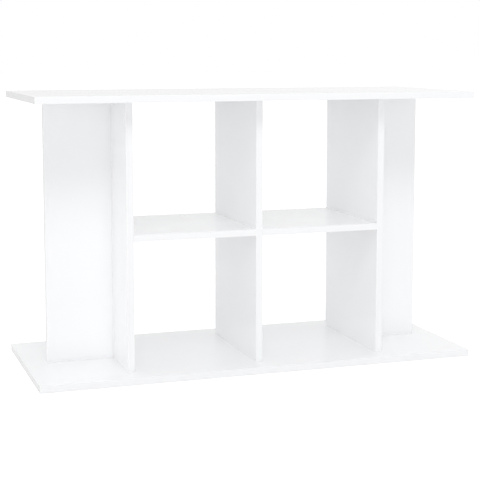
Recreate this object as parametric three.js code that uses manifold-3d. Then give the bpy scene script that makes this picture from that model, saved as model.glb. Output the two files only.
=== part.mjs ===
// Flat-pack stand for an aquarium: a wide top board and a wide base board held apart by five
// uprights, with two short shelves at half height. The bays are open at the front and the back.
// Millimetres, +Z up. The origin is on the floor under the middle of the base board.
// +X runs along the stand, -Y is its front.

import * as THREE from "three";
import { mergeVertices } from "three/addons/utils/BufferGeometryUtils.js";
import Module from "manifold-3d";

// Boards
const LENGTH = 1000; // top and base boards along X
const DEPTH = 400; // top and base boards along Y
const BOARD = 15; // thickness of every board
const OVERHANG = 50; // top and base boards beyond the uprights, all round
const BAY_HEIGHT = 284.5; // clear height under and over the shelves
const END_WIDTH = 150; // end panels along X

// Fittings
const PLAY = 0.3; // clearance round a fitting in its hole
const SIDES = 10; // sides of a round fitting and of its hole
const FITTING_Y = 100; // fittings in front of and behind the middle of a deep board
const END_FITTING_X = 45; // fittings left and right of the middle of an end panel
const END_DOWEL_Z = [150, 464]; // heights of the dowels that locate an end panel
const CAM = { radius: 7.2, height: 11.9, setback: 24, pocket: 12.5, sides: 16 };
const CAM_SLOT = { from: -40, to: 115, room: 0.5 }; // degrees round from the bolt
const CAM_CROSS = { length: 9, width: 1.4, depth: 2.2 };
const CHAMBER_ROOM = 1; // round a bolt's head inside its cam
const HEAD = { radius: 3.5, half: 2, neck: 2, neckEnd: 8.2 }; // along the bolt from the cam's middle
const BOLT = { shaft: 2.9, collar: 3.6, collarHeight: 1.5, thread: 10.5, edgeHole: 4 };
const DOWEL = { radius: 4, inFace: 10.5, inEdge: 19.5, chamfer: 1 };
const SCREW = { head: 5, rim: 1, cone: 4, shank: 3.5, thread: 3.1, length: 50, point: 3 };
const SOCKET = { radius: 2.3, depth: 3 }; // hexagon socket in a screw's head
const RECESS = 0.5; // a screw's head below the base board's underside

// Places worked out from the driving dimensions
const HEIGHT = 3 * BOARD + 2 * BAY_HEIGHT;
const UPRIGHT_HEIGHT = HEIGHT - 2 * BOARD;
const UPRIGHT_TOP = HEIGHT - BOARD;
const UPRIGHT_Z = BOARD + UPRIGHT_HEIGHT / 2;
const UPRIGHT_DEPTH = DEPTH - 2 * OVERHANG;
const END_X = LENGTH / 2 - OVERHANG - END_WIDTH / 2;
const SIDE_OUTER = END_X - END_WIDTH / 2;
const SIDE_INNER = SIDE_OUTER - BOARD;
const SIDE_X = (SIDE_OUTER + SIDE_INNER) / 2;
const SHELF_LENGTH = SIDE_INNER - BOARD / 2;
const SHELF_X = (SIDE_INNER + BOARD / 2) / 2;
const SHELF_Z = BOARD + BAY_HEIGHT + BOARD / 2;

const RIGHT = new THREE.Vector3(1, 0, 0);
const BACK = new THREE.Vector3(0, 1, 0);
const UP = new THREE.Vector3(0, 0, 1);
const LEFT = RIGHT.clone().negate();
const DOWN = UP.clone().negate();

const material = (color, roughness, metalness) =>
  new THREE.MeshStandardMaterial({ color, roughness, metalness });
const MATERIALS = {
  board: material(0xf3f4f6, 0.12, 0),
  zinc: material(0xb9bcc0, 0.4, 1),
  steel: material(0xc3c6ca, 0.3, 1),
  beech: material(0xd9b98c, 0.7, 0),
};

const wasm = await Module();
wasm.setup();

// ---- Solids ----

// A closed three.js geometry as a solid that can be cut or joined.
function solid(geometry) {
  const bare = geometry.clone();
  bare.deleteAttribute("normal");
  bare.deleteAttribute("uv");
  const merged = mergeVertices(bare, 1e-3);
  return new wasm.Manifold(
    new wasm.Mesh({
      numProp: 3,
      vertProperties: merged.attributes.position.array,
      triVerts: new Uint32Array(merged.index.array),
    }),
  );
}

// A solid as a three.js geometry with flat faces.
function geometryOf(shape) {
  const mesh = shape.getMesh();
  const geometry = new THREE.BufferGeometry();
  geometry.setAttribute("position", new THREE.BufferAttribute(mesh.vertProperties, 3));
  geometry.setIndex(new THREE.BufferAttribute(mesh.triVerts, 1));
  const flat = geometry.toNonIndexed();
  flat.computeVertexNormals();
  return flat;
}

// An outline of [radius, height] points turned about Z.
function turned(outline, sides = SIDES) {
  const points = outline.map(([radius, height]) => new THREE.Vector2(radius, height));
  return new THREE.LatheGeometry(points, sides).rotateX(Math.PI / 2);
}

const rod = (radius, low, high, sides) =>
  turned([[0, low], [radius, low], [radius, high], [0, high]], sides);

// The matrix that puts a fitting's own origin at a point with its +Z along a direction.
function aimed(point, direction) {
  const turn = new THREE.Quaternion().setFromUnitVectors(UP, direction);
  return new THREE.Matrix4().compose(point, turn, new THREE.Vector3(1, 1, 1));
}

// The same for a fitting whose +X also has to point along a direction.
function framed(point, outward, along) {
  const across = new THREE.Vector3().crossVectors(outward, along);
  return new THREE.Matrix4().makeBasis(along, across, outward).setPosition(point);
}

// ---- Holes, listed for each board by the fittings that pass through it ----

const holes = {};

function drill(board, cutter, place) {
  (holes[board] ??= []).push(cutter.clone().applyMatrix4(place));
}

// ---- Fittings ----

const fittings = new THREE.Group();

function addFitting(name, geometry, finish, place) {
  const mesh = new THREE.Mesh(geometry, finish);
  mesh.name = name;
  mesh.applyMatrix4(place);
  fittings.add(mesh);
}

// The head, neck and shaft of a cam bolt that leaves a board's edge at z = edge, going up.
function boltHead(edge) {
  const middle = edge - CAM.setback;
  return [
    [0, middle - HEAD.half],
    [HEAD.radius, middle - HEAD.half],
    [HEAD.radius, middle + HEAD.half],
    [HEAD.neck, middle + HEAD.half],
    [HEAD.neck, middle + HEAD.neckEnd],
    [BOLT.shaft, middle + HEAD.neckEnd],
  ];
}

// A cam bolt whose thread starts at z = 0 and runs along +Z. Its collar is just under z = 0.
const threadedBolt = turned([
  ...boltHead(0),
  [BOLT.shaft, -BOLT.collarHeight],
  [BOLT.collar, -BOLT.collarHeight],
  [BOLT.collar, 0],
  [BOLT.shaft, 0],
  [BOLT.shaft, BOLT.thread],
  [0, BOLT.thread],
]);

// A bolt with a head at both ends, for two shelves on the two faces of one board.
const linkHead = boltHead(-BOARD / 2);
const linkBolt = turned([...linkHead, ...linkHead.map(([r, z]) => [r, -z]).reverse()]);

const boltThreadHole = rod(BOLT.shaft + PLAY, -1, BOLT.thread + PLAY);
const linkBoltHole = rod(BOLT.shaft + PLAY, -BOARD, BOARD);
const boltEdgeHole = rod(BOLT.edgeHole, -CAM.setback, 1);
const camPocket = rod(CAM.radius + PLAY, -CAM.pocket, 1, CAM.sides);

// A round cam lock. Its face is just under z = 0, and the bolt comes in along +X at half a board's
// depth. The head sits in an open chamber, and the slot lets the neck pass as the cam turns.
function camLock() {
  const face = -PLAY;
  const bolt = -BOARD / 2;
  const slotHeight = 2 * (HEAD.neck + CAM_SLOT.room);
  const sector = new THREE.Shape();
  const [from, to] = [CAM_SLOT.from, CAM_SLOT.to].map(THREE.MathUtils.degToRad);
  sector.absarc(0, 0, CAM.radius * 1.5, from, to);
  sector.lineTo(0, 0);
  const slot = new THREE.ExtrudeGeometry(sector, {
    depth: slotHeight,
    bevelEnabled: false,
    curveSegments: 2,
  });
  slot.translate(0, 0, bolt - slotHeight / 2);
  const chamberRadius = HEAD.radius + CHAMBER_ROOM;
  const chamber = rod(chamberRadius, face - CAM.height - 1, bolt + HEAD.radius + PLAY);
  const cross = [0, Math.PI / 2].map((turn) => {
    const bar = new THREE.BoxGeometry(CAM_CROSS.length, CAM_CROSS.width, 2 * CAM_CROSS.depth);
    return bar.rotateZ(turn).translate(0, 0, face);
  });
  const body = solid(rod(CAM.radius, face - CAM.height, face, CAM.sides));
  return geometryOf([slot, chamber, ...cross].reduce((left, cut) => left.subtract(solid(cut)), body));
}

const camGeometry = camLock();

// A cam lock in a board's face, with the bolt that comes in through the board's edge.
function addCam(name, board, point, outward, towardBolt) {
  const place = framed(point, outward, towardBolt);
  addFitting(name, camGeometry, MATERIALS.zinc, place);
  drill(board, camPocket, place);
}

function addBolt(name, threadBoard, edgeBoard, point, direction) {
  const place = aimed(point, direction);
  addFitting(name, threadedBolt, MATERIALS.steel, place);
  drill(threadBoard, boltThreadHole, place);
  drill(edgeBoard, boltEdgeHole, place);
}

// A beech dowel from one board's face into another's edge. +Z points into the face.
const dowelOutline = (play) => [
  [0, -DOWEL.inEdge - play],
  [DOWEL.radius + play - DOWEL.chamfer, -DOWEL.inEdge - play],
  [DOWEL.radius + play, -DOWEL.inEdge + DOWEL.chamfer],
  [DOWEL.radius + play, DOWEL.inFace - DOWEL.chamfer],
  [DOWEL.radius + play - DOWEL.chamfer, DOWEL.inFace + play],
  [0, DOWEL.inFace + play],
];
const dowelGeometry = turned(dowelOutline(0));
const dowelHole = turned(dowelOutline(PLAY));

function addDowel(name, faceBoard, edgeBoard, point, direction) {
  const place = aimed(point, direction);
  addFitting(name, dowelGeometry, MATERIALS.beech, place);
  drill(faceBoard, dowelHole, place);
  drill(edgeBoard, dowelHole, place);
}

// A countersunk chipboard screw, driven along +Z with its head just inside z = 0.
const screwOutline = (play) => [
  [SCREW.head + play, RECESS + SCREW.rim],
  [SCREW.shank + play, RECESS + SCREW.rim + SCREW.cone],
  [SCREW.shank + play, BOARD],
  [SCREW.thread + play, BOARD],
  [SCREW.thread + play, SCREW.length - SCREW.point],
  [0, SCREW.length + play],
];
const screwHole = turned([[0, -1], [SCREW.head + PLAY, -1], ...screwOutline(PLAY)]);
const socketCut = rod(SOCKET.radius, -1, RECESS + SOCKET.depth, 6);
const screwBody = solid(turned([[0, RECESS], [SCREW.head, RECESS], ...screwOutline(0)]));
const screwGeometry = geometryOf(screwBody.subtract(solid(socketCut)));

function addScrew(name, board, point) {
  const place = aimed(point, UP);
  addFitting(name, screwGeometry, MATERIALS.steel, place);
  drill("base_board", screwHole, place);
  drill(board, screwHole, place);
}

const boardOf = (upright) => (upright === "centre" ? "centre_divider" : `${upright}_panel`);

// The joints of one upright with the top board above it and the base board below it.
// camFace is the outward direction of the face that takes the cam locks.
function joinUpright(upright, { bolts, dowels, screws, camFace }) {
  for (const [tag, x, y] of bolts) {
    const joint = new THREE.Vector3(x, y, UPRIGHT_TOP);
    const cam = joint.clone().addScaledVector(DOWN, CAM.setback);
    cam.addScaledVector(camFace, BOARD / 2);
    addBolt(`top_bolt_${upright}${tag}`, "top_board", boardOf(upright), joint, UP);
    addCam(`top_cam_${upright}${tag}`, boardOf(upright), cam, camFace, UP);
  }
  for (const [tag, x, y] of dowels) {
    const joint = new THREE.Vector3(x, y, UPRIGHT_TOP);
    addDowel(`top_dowel_${upright}${tag}`, "top_board", boardOf(upright), joint, UP);
  }
  for (const [tag, x, y] of screws)
    addScrew(`base_screw_${upright}${tag}`, boardOf(upright), new THREE.Vector3(x, y, 0));
}

for (const [upright, x, camFace] of [
  ["left_side", -SIDE_X, RIGHT],
  ["centre", 0, RIGHT],
  ["right_side", SIDE_X, RIGHT],
]) {
  const frontAndBack = [["_front", x, -FITTING_Y], ["_back", x, FITTING_Y]];
  joinUpright(upright, {
    bolts: frontAndBack,
    dowels: [["", x, 0]],
    screws: frontAndBack,
    camFace,
  });
}

for (const [hand, sign] of [["left", -1], ["right", 1]]) {
  const outerAndInner = [
    ["_outer", sign * (END_X + END_FITTING_X), 0],
    ["_inner", sign * (END_X - END_FITTING_X), 0],
  ];
  joinUpright(`${hand}_end`, {
    bolts: [["", sign * END_X, 0]],
    dowels: outerAndInner,
    screws: outerAndInner,
    camFace: BACK,
  });

  // Dowels between the side panel's outer face and the end panel's inner edge
  END_DOWEL_Z.forEach((z, i) => {
    const name = `end_dowel_${hand}_${["lower", "upper"][i]}`;
    const joint = new THREE.Vector3(sign * SIDE_OUTER, 0, z);
    const inward = sign > 0 ? LEFT : RIGHT;
    addDowel(name, `${hand}_side_panel`, `${hand}_end_panel`, joint, inward);
  });

  // Shelf joints: a bolt in the side panel, and a cam lock at each end under the shelf
  const outward = sign > 0 ? RIGHT : LEFT;
  const inward = sign > 0 ? LEFT : RIGHT;
  for (const [tag, y] of [["front", -FITTING_Y], ["back", FITTING_Y]]) {
    const shelf = `${hand}_shelf`;
    const joint = new THREE.Vector3(sign * SIDE_INNER, y, SHELF_Z);
    addBolt(`shelf_bolt_${hand}_${tag}`, `${hand}_side_panel`, shelf, joint, outward);
    const under = (x) => new THREE.Vector3(sign * x, y, SHELF_Z - BOARD / 2);
    const outerCam = under(SIDE_INNER - CAM.setback);
    const innerCam = under(BOARD / 2 + CAM.setback);
    addCam(`shelf_cam_${hand}_outer_${tag}`, shelf, outerCam, DOWN, outward);
    addCam(`shelf_cam_${hand}_inner_${tag}`, shelf, innerCam, DOWN, inward);
    const dividerFace = new THREE.Vector3((sign * BOARD) / 2, y, SHELF_Z);
    drill(shelf, boltEdgeHole, aimed(dividerFace, inward));
  }
}

for (const [tag, y] of [["front", -FITTING_Y], ["back", FITTING_Y]]) {
  const place = aimed(new THREE.Vector3(0, y, SHELF_Z), RIGHT);
  addFitting(`shelf_link_bolt_${tag}`, linkBolt, MATERIALS.steel, place);
  drill("centre_divider", linkBoltHole, place);
}

// ---- Boards ----

const boards = new THREE.Group();

function addBoard(name, size, centre) {
  const away = new THREE.Vector3(...centre).negate();
  let body = solid(new THREE.BoxGeometry(...size));
  for (const hole of holes[name])
    body = body.subtract(solid(hole.clone().translate(away.x, away.y, away.z)));
  const mesh = new THREE.Mesh(geometryOf(body), MATERIALS.board);
  mesh.name = name;
  mesh.position.set(...centre);
  boards.add(mesh);
}

addBoard("base_board", [LENGTH, DEPTH, BOARD], [0, 0, BOARD / 2]);
addBoard("top_board", [LENGTH, DEPTH, BOARD], [0, 0, HEIGHT - BOARD / 2]);
addBoard("centre_divider", [BOARD, UPRIGHT_DEPTH, UPRIGHT_HEIGHT], [0, 0, UPRIGHT_Z]);
for (const [hand, sign] of [["left", -1], ["right", 1]]) {
  const side = [BOARD, UPRIGHT_DEPTH, UPRIGHT_HEIGHT];
  addBoard(`${hand}_side_panel`, side, [sign * SIDE_X, 0, UPRIGHT_Z]);
  const end = [END_WIDTH, BOARD, UPRIGHT_HEIGHT];
  addBoard(`${hand}_end_panel`, end, [sign * END_X, 0, UPRIGHT_Z]);
  const shelf = [SHELF_LENGTH, UPRIGHT_DEPTH, BOARD];
  addBoard(`${hand}_shelf`, shelf, [sign * SHELF_X, 0, SHELF_Z]);
}

const stand = new THREE.Group();
stand.add(boards, fittings);

export default stand;
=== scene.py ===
import math

import bmesh
import bpy
from mathutils import Matrix, Vector


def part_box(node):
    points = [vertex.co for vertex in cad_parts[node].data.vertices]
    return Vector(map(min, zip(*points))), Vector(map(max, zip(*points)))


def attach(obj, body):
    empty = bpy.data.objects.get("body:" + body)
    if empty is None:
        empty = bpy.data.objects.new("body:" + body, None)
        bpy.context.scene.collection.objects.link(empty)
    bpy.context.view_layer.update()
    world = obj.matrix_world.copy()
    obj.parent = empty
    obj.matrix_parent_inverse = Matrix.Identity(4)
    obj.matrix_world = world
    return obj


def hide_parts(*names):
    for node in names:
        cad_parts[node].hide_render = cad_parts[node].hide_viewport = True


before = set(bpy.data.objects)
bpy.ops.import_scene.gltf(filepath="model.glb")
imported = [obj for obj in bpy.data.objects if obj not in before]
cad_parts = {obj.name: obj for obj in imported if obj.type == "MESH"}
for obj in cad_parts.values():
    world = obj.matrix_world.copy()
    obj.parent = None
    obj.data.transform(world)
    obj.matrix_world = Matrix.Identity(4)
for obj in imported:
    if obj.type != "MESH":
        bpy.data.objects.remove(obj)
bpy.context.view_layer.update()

MM = 0.001
X, Y, Z = Vector((1, 0, 0)), Vector((0, 1, 0)), Vector((0, 0, 1))

# Boards
BAND = 0.8 * MM  # thickness of an edge band
BAND_ARRIS = 0.6 * MM  # rounding of a band's outer edges
CORE_ARRIS = 0.06 * MM  # chamfer of a core, which makes the hairline beside a band
ROOM = 0.15 * MM  # round a fitting in its hole
JOINT_PLAY = 0.05 * MM  # a wide hole runs this far past the joint

# Cam locks
CAM_RADIUS, CAM_HEIGHT = 7.2 * MM, 11.9 * MM
CAM_SETBACK = 24 * MM  # from a board's edge to the middle of a cam
CAM_BELOW = 0.3 * MM  # from a board's face down to a cam's face
POCKET_RADIUS, POCKET_DEPTH = 7.5 * MM, 12.5 * MM
EDGE_HOLE_RADIUS = 4 * MM  # of the hole that leads from a board's edge to a cam
CAP_RADIUS, CAP_HEIGHT = 8.6 * MM, 1.1 * MM

# Bolts
HEAD, HEAD_HALF, HEAD_EDGE = 3.5 * MM, 2 * MM, 0.4 * MM  # radius, half the height, and chamfer
NECK = 2 * MM  # radius
NECK_END = 8.2 * MM  # from the middle of the cam
BOLT_SHAFT, BOLT_COLLAR = 2.9 * MM, 3.6 * MM  # radii
BOLT_THREAD = 10.5 * MM  # from the joint to the thread's end

# Dowels
DOWEL_RADIUS, DOWEL_LENGTH = 4 * MM, 30 * MM
DOWEL_IN_FACE = 10.5 * MM  # the length in a board's face. The rest is in the other board's edge

# Screws
SCREW_HEAD, SCREW_SHANK, SCREW_THREAD = 5 * MM, 3.5 * MM, 3.1 * MM  # radii
SCREW_RECESS, SCREW_RIM, SCREW_CONE = 0.5 * MM, 1 * MM, 4 * MM  # heights at the head
SCREW_LENGTH = 50 * MM  # from the base board's underside to the point

# Sides of a turned mesh
ROD_SIDES, HOLE_SIDES, DISC_SIDES = 24, 36, 48
SMOOTH_ANGLE = math.radians(35)  # sharper edges than this stay sharp

# Camera, left of the front and just above the top board
CAMERA_PLACE = Vector((-0.920, -2.722, 0.714))
CAMERA_AIM = Vector((0.0056, 0.0, 0.3802))
LENS = 93.7
SHIFT_Y = -0.1

# Floor
FLOOR_SIDE = 60.0
FLOOR_GAP = 0.2 * MM  # the floor is this far under the base board
FLOOR_GLOW = 0.42  # what it lacks to be as white as the background


# ---- Materials ----


class Nodes:
    """A material's node tree, with short ways to add nodes and links."""

    def __init__(self, name):
        self.material = bpy.data.materials.new(name)
        self.material.use_nodes = True
        self.tree = self.material.node_tree
        self.shader = self.tree.nodes["Principled BSDF"]
        self.place = self.add("ShaderNodeTexCoord").outputs["Object"]

    def add(self, kind, inputs=None, **settings):
        node = self.tree.nodes.new(kind)
        for key, value in settings.items():
            setattr(node, key, value)
        for key, value in (inputs or {}).items():
            self.put(node.inputs[key], value)
        return node

    def put(self, socket, value):
        if isinstance(value, bpy.types.NodeSocket):
            self.tree.links.new(value, socket)
        else:
            socket.default_value = value

    def set(self, **values):
        """Sets the shader's sockets: Base_Color=..., Roughness=... ."""
        for key, value in values.items():
            self.put(self.shader.inputs[key.replace("_", " ")], value)

    def stretched(self, scale):
        """Object coordinates, scaled along each axis."""
        return self.add("ShaderNodeMapping", {"Vector": self.place, "Scale": scale}).outputs[0]

    def noise(self, scale, detail=2.0, roughness=0.5, vector=None):
        inputs = {"Vector": vector or self.place, "Scale": scale, "Detail": detail}
        return self.add("ShaderNodeTexNoise", {**inputs, "Roughness": roughness}).outputs["Fac"]

    def between(self, factor, low, high):
        """A number that runs from low to high as the factor runs from 0.3 to 0.7."""
        inputs = {"Value": factor, "From Min": 0.3, "From Max": 0.7, "To Min": low, "To Max": high}
        return self.add("ShaderNodeMapRange", inputs).outputs["Result"]

    def ramp(self, factor, *stops):
        node = self.add("ShaderNodeValToRGB", {"Fac": factor})
        elements = node.color_ramp.elements
        for element, (position, color) in zip(elements, (stops[0], stops[-1])):
            element.position, element.color = position, (*color, 1)
        for position, color in stops[1:-1]:
            elements.new(position).color = (*color, 1)
        return node.outputs["Color"]

    def bump(self, height, distance, normal=None):
        inputs = {"Height": height, "Distance": distance, "Strength": 1.0}
        if normal is not None:
            inputs["Normal"] = normal
        return self.add("ShaderNodeBump", inputs).outputs["Normal"]


def gloss_white_foil():
    """High-gloss white foil: an even tone with a faint cloud, and the slow waves of the board below."""
    m = Nodes("gloss_white_foil")
    cloud = m.noise(9.0, 3.0)
    m.set(
        Base_Color=m.ramp(cloud, (0.35, (0.944, 0.950, 0.961)), (0.65, (0.949, 0.955, 0.965))),
        Roughness=m.between(m.noise(14.0, 4.0), 0.205, 0.235),
        Specular_IOR_Level=0.1,
        Coat_Weight=1.0,
        Coat_Roughness=0.035,
        Coat_IOR=1.5,
    )
    waves = m.bump(m.noise(75.0, 1.0), 0.006 * MM)
    grain = m.bump(m.noise(420.0, 2.0), 0.0015 * MM, normal=waves)
    m.set(Normal=grain, Coat_Normal=waves)
    return m.material


def gloss_white_band(along):
    """A gloss plastic band. Its faint draw lines run along one axis."""
    m = Nodes("gloss_white_band_" + along)
    stretch = {"x": (0.02, 1, 1), "y": (1, 0.02, 1), "z": (1, 1, 0.02)}[along]
    lines = m.noise(1400.0, 1.0, vector=m.stretched(stretch))
    cloud = m.noise(12.0, 2.0)
    m.set(
        Base_Color=m.ramp(cloud, (0.35, (0.939, 0.945, 0.956)), (0.65, (0.943, 0.949, 0.959))),
        Roughness=m.between(lines, 0.18, 0.23),
        Specular_IOR_Level=0.1,
        Coat_Weight=1.0,
        Coat_Roughness=0.06,
        Normal=m.bump(lines, 0.002 * MM),
    )
    return m.material


def chipboard():
    """Pressed chips: flakes of many tones, with pits between them."""
    m = Nodes("chipboard")
    flakes = m.add("ShaderNodeTexVoronoi", {"Vector": m.stretched((1, 1, 0.6)), "Scale": 520.0})
    tone = m.noise(260.0, 4.0, 0.7)
    mixed = m.add("ShaderNodeMix", {"Factor": 0.5, "A": flakes.outputs["Distance"], "B": tone})
    m.set(
        Base_Color=m.ramp(
            mixed.outputs["Result"],
            (0.25, (0.20, 0.125, 0.065)),
            (0.42, (0.46, 0.33, 0.19)),
            (0.62, (0.66, 0.52, 0.34)),
        ),
        Roughness=m.between(tone, 0.75, 0.95),
        Normal=m.bump(flakes.outputs["Distance"], 0.15 * MM),
    )
    return m.material


def die_cast_zinc():
    m = Nodes("die_cast_zinc")
    skin = m.noise(380.0, 5.0, 0.65)
    m.set(
        Base_Color=m.ramp(skin, (0.3, (0.50, 0.51, 0.53)), (0.7, (0.66, 0.67, 0.68))),
        Metallic=1.0,
        Roughness=m.between(skin, 0.32, 0.52),
        Normal=m.bump(skin, 0.03 * MM),
    )
    return m.material


def plated_steel(name, tint):
    """Bright zinc plating, a little uneven, with the marks of turning across the axis."""
    m = Nodes(name)
    patch = m.noise(160.0, 3.0)
    rings = m.noise(1800.0, 2.0, vector=m.stretched((0.05, 0.05, 1)))
    dark = tuple(0.86 * c for c in tint)
    m.set(
        Base_Color=m.ramp(patch, (0.3, dark), (0.7, tint)),
        Metallic=1.0,
        Roughness=m.between(patch, 0.28, 0.38),
        Normal=m.bump(rings, 0.008 * MM),
    )
    return m.material


def raw_beech():
    """Beech with its grain along the dowel and short dark rays."""
    m = Nodes("raw_beech")
    grain = m.noise(700.0, 4.0, 0.6, m.stretched((1, 1, 0.06)))
    rays = m.noise(1500.0, 1.0, 0.5, m.stretched((1, 1, 0.25)))
    m.set(
        Base_Color=m.ramp(
            grain,
            (0.30, (0.50, 0.33, 0.19)),
            (0.52, (0.68, 0.50, 0.32)),
            (0.70, (0.78, 0.61, 0.42)),
        ),
        Roughness=m.between(rays, 0.6, 0.8),
        Normal=m.bump(rays, 0.05 * MM),
    )
    return m.material


def white_plastic():
    m = Nodes("white_plastic")
    skin = m.noise(1100.0, 3.0)
    cloud = m.noise(60.0, 2.0)
    m.set(
        Base_Color=m.ramp(cloud, (0.3, (0.88, 0.883, 0.888)), (0.7, (0.90, 0.902, 0.906))),
        Roughness=m.between(skin, 0.30, 0.42),
        Normal=m.bump(skin, 0.01 * MM),
    )
    return m.material


def studio_floor():
    """A pale floor that glows a little where the camera sees it, so that it runs into the background."""
    m = Nodes("studio_floor")
    cloud = m.noise(1.5, 2.0)
    seen = m.add("ShaderNodeLightPath").outputs["Is Camera Ray"]
    m.set(
        Base_Color=m.ramp(cloud, (0.3, (0.81, 0.81, 0.81)), (0.7, (0.83, 0.83, 0.83))),
        Roughness=0.9,
        Specular_IOR_Level=0.0,
        Emission_Color=(1.0, 1.0, 1.0, 1.0),
        Emission_Strength=m.add(
            "ShaderNodeMath", {0: seen, 1: FLOOR_GLOW}, operation="MULTIPLY"
        ).outputs[0],
    )
    return m.material


FOIL = gloss_white_foil()
CHIPBOARD = chipboard()
BANDS = {along: gloss_white_band(along) for along in "xyz"}
ZINC = die_cast_zinc()
BOLT_STEEL = plated_steel("plated_bolt", (0.80, 0.80, 0.78))
SCREW_STEEL = plated_steel("plated_screw", (0.82, 0.79, 0.70))
BEECH = raw_beech()
PLASTIC = white_plastic()


# ---- Mesh helpers ----


def new_object(name, bm, *materials):
    """An object with the mesh in bm, whose face normals are made consistent."""
    bmesh.ops.recalc_face_normals(bm, faces=bm.faces)
    mesh = bpy.data.meshes.new(name)
    bm.to_mesh(mesh)
    bm.free()
    return mesh_object(name, mesh, *materials)


def mesh_object(name, mesh, *materials):
    for material in materials:
        mesh.materials.append(material)
    obj = bpy.data.objects.new(name, mesh)
    bpy.context.scene.collection.objects.link(obj)
    return obj


def shade(obj):
    """Smooth shading between the sharp edges, with normals that follow the larger faces."""
    obj.data.shade_smooth()
    obj.data.set_sharp_from_angle(angle=SMOOTH_ANGLE)
    normals = obj.modifiers.new("normals", "WEIGHTED_NORMAL")
    normals.keep_sharp, normals.weight = True, 100
    bake_modifiers(obj)


def turned(rows, sides):
    """A closed bmesh turned about Z. A row is (radius, z), where radius may be a function of the angle.
    A first or last row of radius 0 closes the solid in a point."""
    bm = bmesh.new()
    rings = []
    for radius, z in rows:
        if radius == 0:
            rings.append([bm.verts.new((0, 0, z))])
            continue
        ring = []
        for i in range(sides):
            a = 2 * math.pi * i / sides
            r = radius(a) if callable(radius) else radius
            ring.append(bm.verts.new((r * math.cos(a), r * math.sin(a), z)))
        rings.append(ring)
    for low, high in zip(rings, rings[1:]):
        for i in range(sides):
            j = (i + 1) % sides
            corners = [low[i % len(low)], low[j % len(low)], high[j % len(high)], high[i % len(high)]]
            bm.faces.new(list(dict.fromkeys(corners)))
    return bm


def thread(core, depth, start, end, pitch, steps):
    """Rows of a helical thread from start to end, which fades in and out over one turn."""
    ridge = 5 / 11  # its width, as a part of the pitch
    count = math.ceil((end - start) / pitch * steps)
    rows = []
    for k in range(count + 1):
        z = start + (end - start) * k / count
        fade = min(1, (z - start) / pitch, (end - z) / pitch)

        def radius(a, z=z, fade=fade):
            t = (z / pitch - a / (2 * math.pi)) % 1
            return core + depth * fade * max(0, 1 - abs(2 * t - 1) / ridge)

        rows.append((radius, z))
    return rows


def aimed(point, direction, along=None):
    """The matrix that puts +Z along a direction at a point, and +X along another where it's given."""
    if along is None:
        return Matrix.Translation(point) @ Z.rotation_difference(direction).to_matrix().to_4x4()
    across = direction.cross(along)
    return Matrix.Translation(point) @ Matrix((along, across, direction)).transposed().to_4x4()


def cut(obj, cutters):
    """Cuts a list of bmeshes out of an object, with an exact boolean, and leaves a plain mesh."""
    joined = bmesh.new()
    for cutter in cutters:
        part = bpy.data.meshes.new("part")
        bmesh.ops.recalc_face_normals(cutter, faces=cutter.faces)
        cutter.to_mesh(part)
        cutter.free()
        joined.from_mesh(part)
        bpy.data.meshes.remove(part)
    tool = new_object("cutter", joined)
    boolean = obj.modifiers.new("holes", "BOOLEAN")
    boolean.object, boolean.operation = tool, "DIFFERENCE"
    boolean.solver, boolean.use_self = "EXACT", True
    bake_modifiers(obj)
    bpy.data.meshes.remove(tool.data)


def bake_modifiers(obj):
    graph = bpy.context.evaluated_depsgraph_get()
    old = obj.data
    obj.data = bpy.data.meshes.new_from_object(obj.evaluated_get(graph), depsgraph=graph)
    obj.modifiers.clear()
    obj.data.name = old.name
    bpy.data.meshes.remove(old)


def finished(obj, slot, *nodes):
    """A piece that rides on the stand's one body and takes the place of CAD nodes, if any are named."""
    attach(obj, "root")
    if nodes:
        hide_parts(*nodes)
    return obj


# ---- Places read from the frame ----


def middle(node):
    low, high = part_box(node)
    return (low + high) / 2


def nodes_named(*starts):
    return [n for n in sorted(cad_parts) if n.startswith(starts)]


BOARDS = nodes_named("top_board", "base_board", "centre_divider", "left_", "right_")
CAMS = nodes_named("top_cam_", "shelf_cam_")
BOLTS = nodes_named("top_bolt_", "shelf_bolt_")
LINK_BOLTS = nodes_named("shelf_link_bolt_")
DOWELS = nodes_named("top_dowel_", "end_dowel_")
SCREWS = nodes_named("base_screw_")


def short_of(node, direction, distance):
    """The point on a fitting's axis that is a distance short of its end in a direction."""
    low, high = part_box(node)
    reach = abs(((high - low) / 2).dot(direction))
    return (low + high) / 2 + direction * (reach - distance)


def outer_way(node):
    """+X or -X, away from the middle of the stand."""
    return X if middle(node).x > 0 else -X


def bolt_place(node):
    direction = Z if node.startswith("top") else outer_way(node)
    return aimed(short_of(node, direction, BOLT_THREAD), direction)


def link_bolt_place(node):
    return aimed(middle(node), X)


def dowel_place(node):
    direction = Z if node.startswith("top") else -outer_way(node)
    return aimed(short_of(node, direction, DOWEL_IN_FACE), direction)


def screw_place(node):
    return aimed(short_of(node, Z, SCREW_LENGTH), Z)


def cam_place(node):
    """The middle of the cam's hole in the board's face, with +Z out of the board and +X to the bolt."""
    if node.startswith("top"):
        outward, to_bolt = (Y if "_end" in node else X), Z
    else:
        outward = -Z
        to_bolt = outer_way(node) if "_outer_" in node else -outer_way(node)
    return aimed(short_of(node, outward, -CAM_BELOW), outward, to_bolt)


# ---- Fittings ----


def head_rows(edge):
    """The head, neck and shaft of a bolt that leaves a board's edge at z = edge, going up."""
    centre = edge - CAM_SETBACK
    low, high = centre - HEAD_HALF, centre + HEAD_HALF
    return [
        (0, low),
        (HEAD - HEAD_EDGE, low),
        (HEAD, low + HEAD_EDGE),
        (HEAD, high - HEAD_EDGE),
        (HEAD - HEAD_EDGE, high),
        (NECK, high),
        (NECK, centre + NECK_END - HEAD_EDGE),
        (BOLT_SHAFT, centre + NECK_END),
    ]


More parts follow.
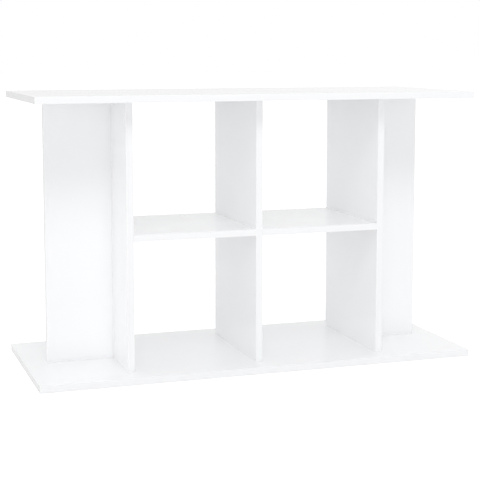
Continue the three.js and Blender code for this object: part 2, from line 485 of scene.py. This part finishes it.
def bolt_mesh():
    """A cam bolt: a collar just under z = 0, and a coarse thread above it."""
    collar, chamfer = -1.5 * MM, 0.2 * MM
    core, pitch, steps = 2.1 * MM, 2 * MM, 10
    point, point_end = 0.8 * MM, 1.2 * MM
    return turned(
        [
            *head_rows(0),
            (BOLT_SHAFT, collar),
            (BOLT_COLLAR - chamfer, collar),
            (BOLT_COLLAR, collar + chamfer),
            (BOLT_COLLAR, -chamfer),
            (BOLT_COLLAR - chamfer, 0),
            *thread(core, BOLT_SHAFT - core, 0.1 * MM, BOLT_THREAD - point, pitch, steps),
            (point_end, BOLT_THREAD),
            (0, BOLT_THREAD),
        ],
        ROD_SIDES,
    )


def link_bolt_mesh(half_board):
    """A bolt with a head at each end, and a grooved grip in its middle."""
    rows = head_rows(-half_board)
    grooves, depth, half_width = 5, 0.25 * MM, 0.2 * MM
    for k in range(grooves):
        z = (k + 0.5 - grooves) * MM
        rows += [(BOLT_SHAFT, z), (BOLT_SHAFT - depth, z + half_width), (BOLT_SHAFT, z + 2 * half_width)]
    return turned(rows + [(r, -z) for r, z in reversed(rows)], ROD_SIDES)


def screw_mesh(board):
    """A countersunk screw, driven along +Z, with a hexagon socket in its head and a point at its end."""
    half_across, socket_depth, socket_cone = 2 * MM, 3 * MM, 0.8 * MM
    core, pitch, steps, point = 2.1 * MM, 3 * MM, 12, 3 * MM
    under_head = SCREW_RECESS + SCREW_RIM

    def hexagon(a):
        return half_across / math.cos((a + math.pi / 6) % (math.pi / 3) - math.pi / 6)

    return turned(
        [
            (0, SCREW_RECESS + socket_depth + socket_cone),
            (hexagon, SCREW_RECESS + socket_depth),
            (hexagon, SCREW_RECESS + 0.1 * MM),
            (SCREW_HEAD - 0.3 * MM, SCREW_RECESS),
            (SCREW_HEAD, SCREW_RECESS + 0.3 * MM),
            (SCREW_HEAD, under_head),
            (SCREW_SHANK, under_head + SCREW_CONE),
            (SCREW_SHANK, board),
            *thread(core, SCREW_THREAD - core, board + 0.1 * MM, SCREW_LENGTH - point, pitch, steps),
            (0, SCREW_LENGTH),
        ],
        ROD_SIDES,
    )


def dowel_mesh():
    """A dowel with pressed flutes and chamfered ends. Its joint is at z = 0."""
    chamfer, groove, flutes = 1 * MM, 0.25 * MM, 18

    def fluted(a):
        return DOWEL_RADIUS - groove * max(0, math.cos(flutes * a))

    low = DOWEL_IN_FACE - DOWEL_LENGTH
    return turned(
        [
            (0, low),
            (DOWEL_RADIUS - chamfer, low),
            (fluted, low + chamfer),
            (fluted, DOWEL_IN_FACE - chamfer),
            (DOWEL_RADIUS - chamfer, DOWEL_IN_FACE),
            (0, DOWEL_IN_FACE),
        ],
        4 * flutes,
    )


def drill(place, rows):
    """A turned cutter with flat ends."""
    bm = turned([(0, rows[0][1]), *rows, (0, rows[-1][1])], HOLE_SIDES)
    bm.transform(place)
    return bm


def prism(outline, low, high):
    """An outline of (x, y) points, as a solid from z = low to z = high."""
    bm = bmesh.new()
    bottom = [bm.verts.new((x, y, low)) for x, y in outline]
    top = [bm.verts.new((x, y, high)) for x, y in outline]
    bm.faces.new(bottom[::-1])
    bm.faces.new(top)
    for i in range(len(outline)):
        j = (i + 1) % len(outline)
        bm.faces.new((bottom[i], bottom[j], top[j], top[i]))
    return bm


def cam_object(bolt_depth):
    """A cam lock in its own frame: +Z out of the board, +X to the bolt, and the board's face at z = 0."""
    edge = 0.4 * MM
    face, base = -CAM_BELOW, -CAM_BELOW - CAM_HEIGHT
    body = turned(
        [
            (0, base),
            (CAM_RADIUS - edge, base),
            (CAM_RADIUS, base + edge),
            (CAM_RADIUS, face - edge),
            (CAM_RADIUS - edge, face),
            (0, face),
        ],
        DISC_SIDES,
    )
    cam = new_object("cam_lock", body, ZINC)
    slot_start, slot_turn, steps = -40, 155, 24  # degrees round the cam, from the bolt
    arc = [math.radians(slot_start + slot_turn * k / steps) for k in range(steps + 1)]
    outside = 1.5 * CAM_RADIUS
    slot = [(outside * math.cos(a), outside * math.sin(a)) for a in arc]
    slot_half = NECK + 0.5 * MM
    chamber, chamber_top = HEAD + 1 * MM, HEAD + CAM_BELOW - bolt_depth
    long, wide, deep = 4.5 * MM, 0.7 * MM, 2.2 * MM
    bar = [(long, -wide), (long, wide), (-long, wide), (-long, -wide)]
    cutters = [
        prism([(0, 0), *slot], -bolt_depth - slot_half, -bolt_depth + slot_half),
        drill(Matrix(), [(chamber, base - MM), (chamber, chamber_top)]),
        prism(bar, face - deep, MM),
        prism([(-y, x) for x, y in bar], face - deep, MM),
    ]
    cut(cam, cutters)
    return cam


def cap_mesh():
    """A cover cap: a slightly domed disc with a rounded rim and a peg that goes into the cam's cross."""
    peg, peg_end = 0.65 * MM, -2 * MM
    round_rim, dome, steps = 0.6 * MM, 0.1 * MM, 5
    rim = []
    for k in range(steps + 1):
        a = math.radians(90 * k / steps)
        radius = CAP_RADIUS - round_rim * (1 - math.cos(a))
        rim.append((radius, CAP_HEIGHT - dome - round_rim * (1 - math.sin(a))))
    return turned(
        [
            (0, peg_end),
            (peg, peg_end + 0.2 * MM),
            (peg, JOINT_PLAY),
            (CAP_RADIUS - 0.1 * MM, JOINT_PLAY),
            *rim,
            (0.6 * CAP_RADIUS, CAP_HEIGHT - 0.3 * dome),
            (0.2 * CAP_RADIUS, CAP_HEIGHT),
            (0, CAP_HEIGHT),
        ],
        DISC_SIDES,
    )


def add_copies(model, nodes, place_of, slot, suffix, stands_for=True):
    """One copy of a model at each node's place. The copies share the model's mesh."""
    shade(model)
    mesh = model.data
    bpy.data.objects.remove(model)
    for node in nodes:
        copy = mesh_object(node + suffix, mesh)
        copy.matrix_world = place_of(node)
        finished(copy, slot, *([node] if stands_for else []))


def add_fittings():
    low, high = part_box("base_board")
    board = high.z - low.z
    bolt = new_object("bolt", bolt_mesh(), BOLT_STEEL)
    add_copies(bolt, BOLTS, bolt_place, "steel_bolt", "_turned")
    link = new_object("link_bolt", link_bolt_mesh(board / 2), BOLT_STEEL)
    add_copies(link, LINK_BOLTS, link_bolt_place, "steel_bolt", "_turned")
    screw = new_object("screw", screw_mesh(board), SCREW_STEEL)
    add_copies(screw, SCREWS, screw_place, "steel_screw", "_turned")
    dowel = new_object("dowel", dowel_mesh(), BEECH)
    add_copies(dowel, DOWELS, dowel_place, "beech_dowel", "_fluted")
    add_copies(cam_object(board / 2), CAMS, cam_place, "zinc_cam", "_cast")
    cap = new_object("cap", cap_mesh(), PLASTIC)
    add_copies(cap, CAMS, cam_place, "white_cap", "_cap", stands_for=False)


# ---- Boards ----

FRONT, BACK, LEFT, RIGHT = (1, -1), (1, 1), (0, -1), (0, 1)
EDGE_NAMES = {FRONT: "front", BACK: "back", LEFT: "left", RIGHT: "right"}


def banded_edges(board):
    """The edges of a board that carry a band, as (axis, sign). Those put on last lie between the others."""
    if board in ("top_board", "base_board"):
        return [FRONT, BACK, LEFT, RIGHT]
    if board.endswith("end_panel"):
        return [LEFT if board.startswith("left") else RIGHT]
    return [FRONT, BACK]


def all_holes():
    """Every drilled hole as (place, rows). A hole that runs through two boards is one entry."""
    low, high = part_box("base_board")
    board = high.z - low.z
    past = MM
    thread_hole = BOLT_SHAFT + ROOM
    bolt_end = BOLT_THREAD + ROOM
    bolt = [
        (EDGE_HOLE_RADIUS, -CAM_SETBACK),
        (EDGE_HOLE_RADIUS, JOINT_PLAY),
        (thread_hole, JOINT_PLAY),
        (thread_hole, bolt_end),
    ]
    link = [
        (EDGE_HOLE_RADIUS, -board / 2 - CAM_SETBACK),
        (EDGE_HOLE_RADIUS, JOINT_PLAY - board / 2),
        (thread_hole, JOINT_PLAY - board / 2),
    ]
    link += [(r, -z) for r, z in reversed(link)]
    dowel = [
        (DOWEL_RADIUS + ROOM, DOWEL_IN_FACE - DOWEL_LENGTH - ROOM),
        (DOWEL_RADIUS + ROOM, DOWEL_IN_FACE + ROOM),
    ]
    screw = [
        (SCREW_HEAD + ROOM, -past),
        (SCREW_HEAD + ROOM, SCREW_RECESS + SCREW_RIM),
        (SCREW_SHANK + ROOM, SCREW_RECESS + SCREW_RIM + SCREW_CONE),
        (SCREW_SHANK + ROOM, board + JOINT_PLAY),
        (SCREW_THREAD + ROOM, board + JOINT_PLAY),
        (SCREW_THREAD + ROOM, SCREW_LENGTH + ROOM),
    ]
    cam = [(POCKET_RADIUS, -POCKET_DEPTH), (POCKET_RADIUS, past)]
    return [
        *((bolt_place(node), bolt) for node in BOLTS),
        *((link_bolt_place(node), link) for node in LINK_BOLTS),
        *((dowel_place(node), dowel) for node in DOWELS),
        *((screw_place(node), screw) for node in SCREWS),
        *((cam_place(node), cam) for node in CAMS),
    ]


def crosses(hole, low, high):
    """Whether the hole's axis runs inside a box."""
    place, rows = hole
    ends = [place @ Vector((0, 0, rows[i][1])) for i in (0, -1)]
    near = [min(a, b) for a, b in zip(*ends)]
    far = [max(a, b) for a, b in zip(*ends)]
    return all(far[i] > low[i] + MM and near[i] < high[i] - MM for i in range(3))


def box_mesh(low, high):
    bm = bmesh.new()
    bmesh.ops.create_cube(bm, size=1)
    bmesh.ops.scale(bm, vec=high - low, verts=bm.verts)
    bmesh.ops.translate(bm, vec=(low + high) / 2, verts=bm.verts)
    return bm


def add_band(name, low, high, edge, thin, whole):
    """A band on one edge of a board, with rounded outer arrises. A whole band's ends are rounded too."""
    axis, sign = edge
    bm = box_mesh(low, high)
    outer = (low if sign < 0 else high)[axis]
    rounded = []
    for e in bm.edges:
        if all(abs(v.co[axis] - outer) < BAND / 2 for v in e.verts):
            runs_across = abs(e.verts[0].co[thin] - e.verts[1].co[thin]) > BAND
            if whole or not runs_across:
                rounded.append(e)
    bmesh.ops.bevel(bm, geom=rounded, offset=BAND_ARRIS, segments=5, profile=0.5, affect="EDGES")
    along = "xyz"[3 - axis - thin]
    band = new_object(name, bm, BANDS[along])
    shade(band)
    finished(band, "gloss_white_edge_band")


def add_core(board, low, high, thin, holes):
    """A board without its bands: foil on its two faces, and chipboard on its edges and in its holes."""
    bm = box_mesh(low, high)
    bmesh.ops.bevel(bm, geom=list(bm.edges), offset=CORE_ARRIS, segments=1, affect="EDGES")
    core = new_object(board + "_core", bm, FOIL, CHIPBOARD)
    cut(core, [drill(*hole) for hole in holes if crosses(hole, low, high)])
    for polygon in core.data.polygons:
        height = polygon.center[thin]
        depth = min(height - low[thin], high[thin] - height)
        is_face = depth < CORE_ARRIS and abs(polygon.normal[thin]) > 0.5
        polygon.material_index = 0 if is_face else 1
    finished(core, "gloss_white_board", board)


def add_board(board, holes):
    low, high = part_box(board)
    thin = min(range(3), key=lambda i: high[i] - low[i])
    edges = banded_edges(board)
    for axis, sign in edges:
        band_low, band_high = low.copy(), high.copy()
        if sign < 0:
            band_high[axis] = low[axis] = low[axis] + BAND
        else:
            band_low[axis] = high[axis] = high[axis] - BAND
        name = f"{board}_{EDGE_NAMES[axis, sign]}_band"
        whole = len(edges) == 4 and axis == 1
        add_band(name, band_low, band_high, (axis, sign), thin, whole)
    add_core(board, low, high, thin, holes)


# ---- Stage ----

AIM = Vector((0.0, 0.0, 0.3))
# The key light, about 50 degrees up in front, which casts the top board's soft shadow on the uprights
KEY_PLACE = Vector((-0.5, -2.25, 2.98))
KEY_SIZE = 1.2
KEY_POWER = 24.5
# The fill light, which casts no shadows
FILL_PLACE = Vector((-2.0, -2.6, 1.5))
FILL_STRENGTH = 0.74
FILL_ANGLE = math.radians(40)
# The room's light from each side, as (direction, strength)
WALLS = [
    (-X, 0.84),
    (X, 1.13),
    (-Y, 0.3),
    (Y, 0.87),
    (Z, 0.84),
]


def add_floor():
    bm = bmesh.new()
    bmesh.ops.create_grid(bm, x_segments=8, y_segments=8, size=FLOOR_SIDE / 2)
    low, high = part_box("base_board")
    bmesh.ops.translate(bm, vec=(0, 0, low.z - FLOOR_GAP), verts=bm.verts)
    new_object("floor", bm, studio_floor())


def add_light(kind, name, place, energy, **settings):
    data = bpy.data.lights.new(name, kind)
    data.energy = energy
    for key, value in settings.items():
        setattr(data, key, value)
    light = bpy.data.objects.new(name, data)
    light.location = place
    light.rotation_euler = (AIM - place).to_track_quat("-Z", "Y").to_euler()
    bpy.context.scene.collection.objects.link(light)


def light_studio():
    """A pale room whose light from a direction is a blend of its walls, weighted by the squared cosine.
    The camera sees it as plain white."""
    world = bpy.data.worlds.new("studio")
    world.use_nodes = True
    bpy.context.scene.world = world
    tree = world.node_tree
    tree.nodes.clear()

    def add(kind, inputs, operation=None):
        node = tree.nodes.new(kind)
        if operation:
            node.operation = operation
        for key, value in inputs.items():
            if isinstance(value, bpy.types.NodeSocket):
                tree.links.new(value, node.inputs[key])
            else:
                node.inputs[key].default_value = value
        return node

    direction = add("ShaderNodeTexCoord", {}).outputs["Generated"]
    strength = 0.0
    for wall, light in WALLS:
        dot = add("ShaderNodeVectorMath", {0: direction, 1: wall}, "DOT_PRODUCT").outputs["Value"]
        facing = add("ShaderNodeMath", {0: dot, 1: 0.0}, "MAXIMUM").outputs[0]
        part = add("ShaderNodeMath", {0: facing, 1: facing}, "MULTIPLY").outputs[0]
        strength = add("ShaderNodeMath", {0: part, 1: light, 2: strength}, "MULTIPLY_ADD").outputs[0]
    white = (1.0, 1.0, 1.0, 1.0)
    room = add("ShaderNodeBackground", {"Color": white, "Strength": strength}).outputs[0]
    plain = add("ShaderNodeBackground", {"Color": white, "Strength": 1.0}).outputs[0]
    seen = add("ShaderNodeLightPath", {}).outputs["Is Camera Ray"]
    mix = add("ShaderNodeMixShader", {0: seen, 1: room, 2: plain}).outputs[0]
    add("ShaderNodeOutputWorld", {"Surface": mix})


def add_camera():
    data = bpy.data.cameras.new("camera")
    data.sensor_width, data.lens, data.shift_y = 36.0, LENS, SHIFT_Y
    data.clip_end = 200.0
    camera = bpy.data.objects.new("camera", data)
    camera.location = CAMERA_PLACE
    camera.rotation_euler = (CAMERA_AIM - CAMERA_PLACE).to_track_quat("-Z", "Y").to_euler()
    bpy.context.scene.collection.objects.link(camera)
    bpy.context.scene.camera = camera


holes = all_holes()
for board in BOARDS:
    add_board(board, holes)
add_fittings()
add_floor()
add_light("AREA", "key", KEY_PLACE, KEY_POWER, shape="DISK", size=KEY_SIZE)
add_light("SUN", "fill", FILL_PLACE, FILL_STRENGTH, angle=FILL_ANGLE, use_shadow=False)
light_studio()
add_camera()
bpy.context.scene.view_settings.view_transform = "Standard"
